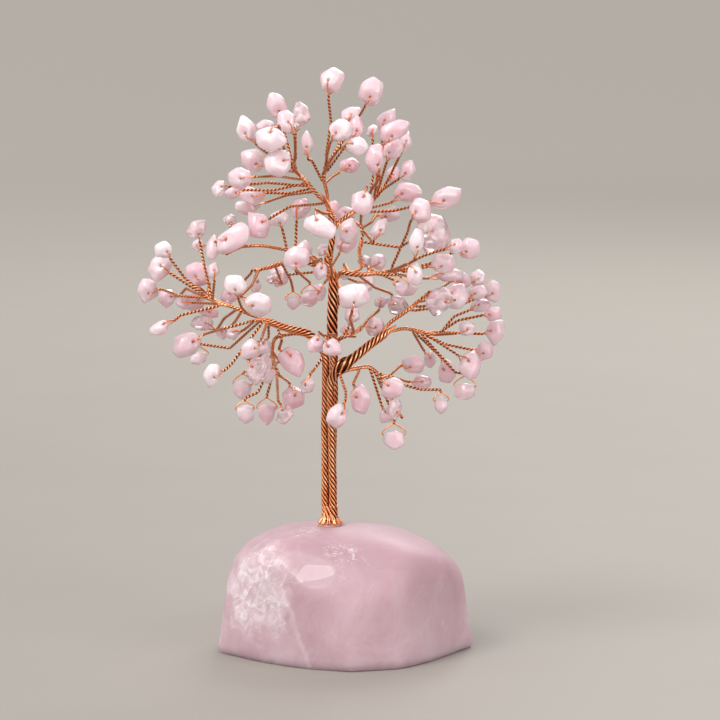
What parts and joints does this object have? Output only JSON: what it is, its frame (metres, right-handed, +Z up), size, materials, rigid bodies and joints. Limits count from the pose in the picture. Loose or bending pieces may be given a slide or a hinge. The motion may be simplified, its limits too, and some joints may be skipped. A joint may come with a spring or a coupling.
{
  "type": "gemstone tree ornament",
  "caption": "Small wire tree with drilled tumbled quartz chips on twisted copper branches, its twisted trunk glued into a rough quartz base.",
  "frame": {"origin": "on the resting face of the base, under the axis of the trunk", "axes": "+Z up along the trunk, -Y towards the viewer, +X to the viewer's right"},
  "size_m": [0.0934, 0.0555, 0.1484],
  "materials": {
    "base_quartz": "translucent rose quartz, rough broken and partly ground faces",
    "chip_quartz": "tumbled polished rose quartz",
    "copper_wire": "bright lacquered copper wire, twisted",
    "clear_adhesive": "cured clear adhesive"
  },
  "bodies": {
    "ornament": {"adhesive": "clear_adhesive", "base_stone": "base_quartz", "branch_centre": "copper_wire", "branch_crown": "copper_wire", "branch_crown_top": "copper_wire", "branch_far_left": "copper_wire", "branch_left_low": "copper_wire", "branch_left_upper": "copper_wire", "branch_mid_left": "copper_wire", "branch_mid_right": "copper_wire", "branch_rear": "copper_wire", "branch_right_inner": "copper_wire", "branch_right_low": "copper_wire", "branch_right_outer": "copper_wire", "branch_right_upper": "copper_wire", "branch_top_left": "copper_wire", "branch_upper_right": "copper_wire", "bundle_leader": "copper_wire", "bundle_left": "copper_wire", "bundle_right": "copper_wire", "chips_centre": "chip_quartz", "chips_crown": "chip_quartz", "chips_far_left": "chip_quartz", "chips_left_inner": "chip_quartz", "chips_left_low": "chip_quartz", "chips_lower_left": "chip_quartz", "chips_mid_left": "chip_quartz", "chips_mid_right": "chip_quartz", "chips_rear": "chip_quartz", "chips_right_low": "chip_quartz", "chips_right_outer": "chip_quartz", "chips_right_upper": "chip_quartz", "chips_top_left": "chip_quartz", "chips_upper_right": "chip_quartz", "foot_wires": "copper_wire", "twigs_centre": "copper_wire", "twigs_crown": "copper_wire", "twigs_far_left": "copper_wire", "twigs_left_inner": "copper_wire", "twigs_left_low": "copper_wire", "twigs_lower_left": "copper_wire", "twigs_mid_left": "copper_wire", "twigs_mid_right": "copper_wire", "twigs_rear": "copper_wire", "twigs_right_low": "copper_wire", "twigs_right_outer": "copper_wire", "twigs_right_upper": "copper_wire", "twigs_top_left": "copper_wire", "twigs_upper_right": "copper_wire"},
    "hanging_chip_far_left": {"hanging_chip_far_left": "chip_quartz"},
    "hanging_chip_inner_left": {"hanging_chip_inner_left": "chip_quartz"},
    "hanging_chip_inner_right": {"hanging_chip_inner_right": "chip_quartz"},
    "hanging_chip_low_left_inner": {"hanging_chip_low_left_inner": "chip_quartz"},
    "hanging_chip_low_left_middle": {"hanging_chip_low_left_middle": "chip_quartz"},
    "hanging_chip_low_left_outer": {"hanging_chip_low_left_outer": "chip_quartz"},
    "hanging_chip_lowest": {"hanging_chip_lowest": "chip_quartz"},
    "hanging_chip_mid_right": {"hanging_chip_mid_right": "chip_quartz"},
    "hanging_chip_right_inner": {"hanging_chip_right_inner": "chip_quartz"},
    "hanging_chip_right_outer": {"hanging_chip_right_outer": "chip_quartz"}
  },
  "joints": [
    {"name": "far_left_swing", "type": "hinge", "parent": "ornament", "child": "hanging_chip_far_left", "pos_m": [-0.03309, 0.0084, 0.07446], "axis": [0.9903, 0.1392, 0], "range_deg": [-50, 50]},
    {"name": "inner_left_swing", "type": "hinge", "parent": "ornament", "child": "hanging_chip_inner_left", "pos_m": [-0.00933, 0.00672, 0.08885], "axis": [0.9703, 0.2419, 0], "range_deg": [-50, 50]},
    {"name": "inner_right_swing", "type": "hinge", "parent": "ornament", "child": "hanging_chip_inner_right", "pos_m": [-0.00511, 0.0112, 0.08952], "axis": [0.9781, -0.2079, 0], "range_deg": [-50, 50]},
    {"name": "low_left_inner_swing", "type": "hinge", "parent": "ornament", "child": "hanging_chip_low_left_inner", "pos_m": [-0.01597, 0.00728, 0.06079], "axis": [0.9903, -0.1392, 0], "range_deg": [-50, 50]},
    {"name": "low_left_middle_swing", "type": "hinge", "parent": "ornament", "child": "hanging_chip_low_left_middle", "pos_m": [-0.02137, 0.00224, 0.06141], "axis": [0.9848, 0.1736, 0], "range_deg": [-50, 50]},
    {"name": "low_left_outer_swing", "type": "hinge", "parent": "ornament", "child": "hanging_chip_low_left_outer", "pos_m": [-0.02205, 0.00896, 0.06675], "axis": [0.9613, -0.2756, 0], "range_deg": [-50, 50]},
    {"name": "lowest_swing", "type": "hinge", "parent": "ornament", "child": "hanging_chip_lowest", "pos_m": [0.01601, -0.00112, 0.05548], "axis": [0.9945, 0.1045, 0], "range_deg": [-50, 50]},
    {"name": "mid_right_swing", "type": "hinge", "parent": "ornament", "child": "hanging_chip_mid_right", "pos_m": [0.01765, -0.00728, 0.09411], "axis": [0.9781, 0.2079, 0], "range_deg": [-50, 50]},
    {"name": "right_inner_swing", "type": "hinge", "parent": "ornament", "child": "hanging_chip_right_inner", "pos_m": [0.02798, 0.00952, 0.06267], "axis": [0.9848, 0.1736, 0], "range_deg": [-50, 50]},
    {"name": "right_outer_swing", "type": "hinge", "parent": "ornament", "child": "hanging_chip_right_outer", "pos_m": [0.03403, 0.00952, 0.06605], "axis": [0.9703, -0.2419, 0], "range_deg": [-50, 50]}
  ]
}
